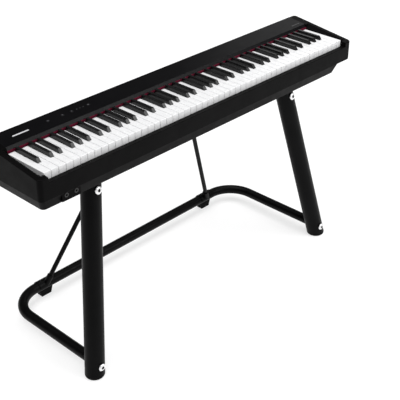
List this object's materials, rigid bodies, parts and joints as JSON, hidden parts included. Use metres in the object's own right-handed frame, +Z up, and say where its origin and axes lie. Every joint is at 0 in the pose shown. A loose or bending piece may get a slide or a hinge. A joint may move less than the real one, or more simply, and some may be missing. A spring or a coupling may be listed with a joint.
{
  "type": "digital piano on stand",
  "caption": "Slim full-size digital piano with a sloping control panel, bolted to a stand of two splayed round legs, a U-shaped floor tube and thin rear braces.",
  "frame": {"origin": "middle of the footprint's bounding box, on the floor", "axes": "+X to the player's right along the keyboard, +Y from the player towards the back of the piano, +Z up"},
  "size_m": [1.286, 0.4578, 0.7187],
  "materials": {
    "case_black": "fine textured satin black",
    "panel_black": "smooth satin black",
    "key_white": "semi gloss",
    "key_black": "satin",
    "button_grey": "satin",
    "stand_black": "satin powder coat",
    "rubber_black": "matt",
    "bolt_chrome": "bright nickel plate",
    "fastener_black": "black oxide",
    "steel": "bright drawn",
    "frame_plastic": "grey glass-filled moulding",
    "felt_red": "felt",
    "felt_grey": "felt",
    "circuit_board": "solder mask",
    "speaker_cone": "paper cone and pressed frame",
    "socket_black": "moulded"
  },
  "bodies": {
    "root": {"base_tube": "stand_black", "bottom_case": "case_black", "bracket_screws": "fastener_black", "case_screws": "fastener_black", "contact_board": "circuit_board", "contact_domes": "rubber_black", "control_panel": "panel_black", "foot_screws": "fastener_black", "headphone_jacks": "socket_black", "key_felt": "felt_red", "key_frame": "frame_plastic", "key_slip": "case_black", "left_brace": "stand_black", "left_brace_plate": "stand_black", "left_cheek": "case_black", "left_leg": "stand_black", "left_leg_bracket": "stand_black", "left_leg_cap": "rubber_black", "left_rear_clamp": "stand_black", "left_rear_foot": "rubber_black", "leg_bolts": "bolt_chrome", "main_board": "circuit_board", "panel_board": "circuit_board", "pivot_rod": "steel", "rear_panel": "case_black", "rear_sockets": "socket_black", "return_springs": "steel", "right_brace": "stand_black", "right_brace_plate": "stand_black", "right_cheek": "case_black", "right_leg": "stand_black", "right_leg_bracket": "stand_black", "right_leg_cap": "rubber_black", "right_rear_clamp": "stand_black", "right_rear_foot": "rubber_black", "saddle_washers": "fastener_black", "speakers": "speaker_cone", "stop_felts": "felt_grey", "tube_inserts": "fastener_black"},
    "key_c": {"key_c": "key_white"},
    "key_c_sharp": {"key_c_sharp": "key_black"},
    "key_d": {"key_d": "key_white"},
    "key_d_sharp": {"key_d_sharp": "key_black"},
    "key_e": {"key_e": "key_white"},
    "key_f": {"key_f": "key_white"},
    "key_f_sharp": {"key_f_sharp": "key_black"},
    "key_g": {"key_g": "key_white"},
    "key_g_sharp": {"key_g_sharp": "key_black"},
    "key_a": {"key_a": "key_white"},
    "key_a_sharp": {"key_a_sharp": "key_black"},
    "key_b": {"key_b": "key_white"},
    "white_keys_bass": {"white_keys_bass": "key_white"},
    "black_keys_bass": {"black_keys_bass": "key_black"},
    "white_keys_treble": {"white_keys_treble": "key_white"},
    "black_keys_treble": {"black_keys_treble": "key_black"},
    "power_button": {"power_button": "button_grey"},
    "minus_button": {"minus_button": "button_grey"},
    "plus_button": {"plus_button": "button_grey"},
    "function_button": {"function_button": "button_grey"}
  },
  "joints": [
    {"name": "key_c_press", "type": "hinge", "parent": "root", "child": "key_c", "pos_m": [0, 0.02395, 0.686], "axis": [1, 0, 0], "range_deg": [0, 2.8], "stiffness_Nm_per_rad": 0.5, "springref_deg": -17.19},
    {"name": "key_c_sharp_press", "type": "hinge", "parent": "root", "child": "key_c_sharp", "pos_m": [0, 0.02395, 0.686], "axis": [1, 0, 0], "range_deg": [0, 2.8], "stiffness_Nm_per_rad": 0.5, "springref_deg": -17.19},
    {"name": "key_d_press", "type": "hinge", "parent": "root", "child": "key_d", "pos_m": [0, 0.02395, 0.686], "axis": [1, 0, 0], "range_deg": [0, 2.8], "stiffness_Nm_per_rad": 0.5, "springref_deg": -17.19},
    {"name": "key_d_sharp_press", "type": "hinge", "parent": "root", "child": "key_d_sharp", "pos_m": [0, 0.02395, 0.686], "axis": [1, 0, 0], "range_deg": [0, 2.8], "stiffness_Nm_per_rad": 0.5, "springref_deg": -17.19},
    {"name": "key_e_press", "type": "hinge", "parent": "root", "child": "key_e", "pos_m": [0, 0.02395, 0.686], "axis": [1, 0, 0], "range_deg": [0, 2.8], "stiffness_Nm_per_rad": 0.5, "springref_deg": -17.19},
    {"name": "key_f_press", "type": "hinge", "parent": "root", "child": "key_f", "pos_m": [0, 0.02395, 0.686], "axis": [1, 0, 0], "range_deg": [0, 2.8], "stiffness_Nm_per_rad": 0.5, "springref_deg": -17.19},
    {"name": "key_f_sharp_press", "type": "hinge", "parent": "root", "child": "key_f_sharp", "pos_m": [0, 0.02395, 0.686], "axis": [1, 0, 0], "range_deg": [0, 2.8], "stiffness_Nm_per_rad": 0.5, "springref_deg": -17.19},
    {"name": "key_g_press", "type": "hinge", "parent": "root", "child": "key_g", "pos_m": [0, 0.02395, 0.686], "axis": [1, 0, 0], "range_deg": [0, 2.8], "stiffness_Nm_per_rad": 0.5, "springref_deg": -17.19},
    {"name": "key_g_sharp_press", "type": "hinge", "parent": "root", "child": "key_g_sharp", "pos_m": [0, 0.02395, 0.686], "axis": [1, 0, 0], "range_deg": [0, 2.8], "stiffness_Nm_per_rad": 0.5, "springref_deg": -17.19},
    {"name": "key_a_press", "type": "hinge", "parent": "root", "child": "key_a", "pos_m": [0, 0.02395, 0.686], "axis": [1, 0, 0], "range_deg": [0, 2.8], "stiffness_Nm_per_rad": 0.5, "springref_deg": -17.19},
    {"name": "key_a_sharp_press", "type": "hinge", "parent": "root", "child": "key_a_sharp", "pos_m": [0, 0.02395, 0.686], "axis": [1, 0, 0], "range_deg": [0, 2.8], "stiffness_Nm_per_rad": 0.5, "springref_deg": -17.19},
    {"name": "key_b_press", "type": "hinge", "parent": "root", "child": "key_b", "pos_m": [0, 0.02395, 0.686], "axis": [1, 0, 0], "range_deg": [0, 2.8], "stiffness_Nm_per_rad": 0.5, "springref_deg": -17.19},
    {"name": "white_keys_bass_press", "type": "hinge", "parent": "root", "child": "white_keys_bass", "pos_m": [0, 0.02395, 0.686], "axis": [1, 0, 0], "range_deg": [0, 2.8], "stiffness_Nm_per_rad": 11.5, "springref_deg": -17.19},
    {"name": "black_keys_bass_press", "type": "hinge", "parent": "root", "child": "black_keys_bass", "pos_m": [0, 0.02395, 0.686], "axis": [1, 0, 0], "range_deg": [0, 2.8], "stiffness_Nm_per_rad": 8, "springref_deg": -17.19},
    {"name": "white_keys_treble_press", "type": "hinge", "parent": "root", "child": "white_keys_treble", "pos_m": [0, 0.02395, 0.686], "axis": [1, 0, 0], "range_deg": [0, 2.8], "stiffness_Nm_per_rad": 11, "springref_deg": -17.19},
    {"name": "black_keys_treble_press", "type": "hinge", "parent": "root", "child": "black_keys_treble", "pos_m": [0, 0.02395, 0.686], "axis": [1, 0, 0], "range_deg": [0, 2.8], "stiffness_Nm_per_rad": 7.5, "springref_deg": -17.19},
    {"name": "power_button_press", "type": "slide", "parent": "root", "child": "power_button", "axis": [0, 0.1231, -0.9924], "range_m": [0, 0.0008], "stiffness_N_per_m": 300, "springref_m": -0.002},
    {"name": "minus_button_press", "type": "slide", "parent": "root", "child": "minus_button", "axis": [0, 0.1231, -0.9924], "range_m": [0, 0.0008], "stiffness_N_per_m": 300, "springref_m": -0.002},
    {"name": "plus_button_press", "type": "slide", "parent": "root", "child": "plus_button", "axis": [0, 0.1231, -0.9924], "range_m": [0, 0.0008], "stiffness_N_per_m": 300, "springref_m": -0.002},
    {"name": "function_button_press", "type": "slide", "parent": "root", "child": "function_button", "axis": [0, 0.1231, -0.9924], "range_m": [0, 0.0008], "stiffness_N_per_m": 300, "springref_m": -0.002}
  ]
}
